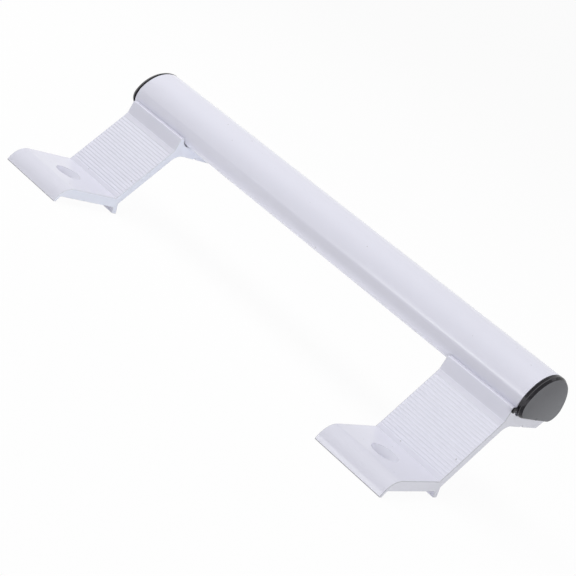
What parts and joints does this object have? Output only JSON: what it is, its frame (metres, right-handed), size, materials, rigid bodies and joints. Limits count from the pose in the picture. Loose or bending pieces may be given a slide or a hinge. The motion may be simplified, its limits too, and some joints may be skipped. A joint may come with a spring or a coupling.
{
  "type": "offset door pull handle",
  "caption": "Straight pull handle: a hollow D-section bar held off the door by cranked, ribbed feet with countersunk fixing holes, closed by plug-in end caps.",
  "frame": {"origin": "on the door's face, midway between the fixing holes of the two feet", "axes": "+X along the bar, +Y across the door from the fixing holes towards the bar, +Z straight off the door"},
  "size_m": [0.3602, 0.1257, 0.0855],
  "materials": {
    "white_coat": "white powder coat over extruded aluminium, satin, with a faint cool tint",
    "black_plastic": "moulded black plastic, finely textured face and glossier rim",
    "plated_steel": "zinc-plated steel"
  },
  "bodies": {
    "handle": {"grip_bar": "white_coat", "left_bracket": "white_coat", "right_bracket": "white_coat", "left_nut_plate": "plated_steel", "right_nut_plate": "plated_steel", "left_outer_clamp_screw": "plated_steel", "left_inner_clamp_screw": "plated_steel", "right_outer_clamp_screw": "plated_steel", "right_inner_clamp_screw": "plated_steel"},
    "left_cap": {"left_end_cap": "black_plastic"},
    "right_cap": {"right_end_cap": "black_plastic"}
  },
  "joints": [
    {"name": "left_cap_pull", "type": "slide", "parent": "handle", "child": "left_cap", "axis": [-1, 0, 0], "range_m": [0, 0.0105]},
    {"name": "right_cap_pull", "type": "slide", "parent": "handle", "child": "right_cap", "axis": [1, 0, 0], "range_m": [0, 0.0105]}
  ]
}
